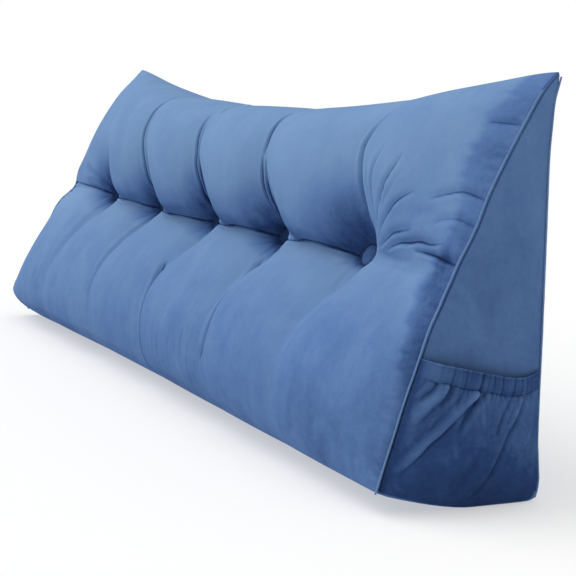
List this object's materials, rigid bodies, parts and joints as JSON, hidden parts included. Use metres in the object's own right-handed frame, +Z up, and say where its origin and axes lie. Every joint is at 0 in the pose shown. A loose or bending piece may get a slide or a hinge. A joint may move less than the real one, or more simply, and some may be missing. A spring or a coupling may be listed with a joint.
{
  "type": "wedge pillow",
  "caption": "Long wedge-shaped back pillow for a bed head or daybed, with a tufted front in two rolls, peaked top corners and a gathered pocket on one side panel.",
  "frame": {"origin": "middle of the bottom of the whole piece, on the surface that it rests on", "axes": "+X along the length towards the side panel with the pocket, +Y from the tufted front to the upright back, +Z up"},
  "size_m": [1.5362, 0.2698, 0.502],
  "materials": {
    "face_velvet": "brushed short-pile velvet",
    "side_velvet": "brushed short-pile velvet"
  },
  "bodies": {
    "root": {"cushion": "face_velvet", "button_1": "face_velvet", "button_2": "face_velvet", "button_3": "face_velvet", "button_4": "face_velvet", "button_5": "face_velvet", "side_pocket": "side_velvet", "piping_front_right": "side_velvet", "piping_back_right": "side_velvet", "piping_front_left": "side_velvet", "piping_back_left": "side_velvet"}
  },
  "joints": []
}
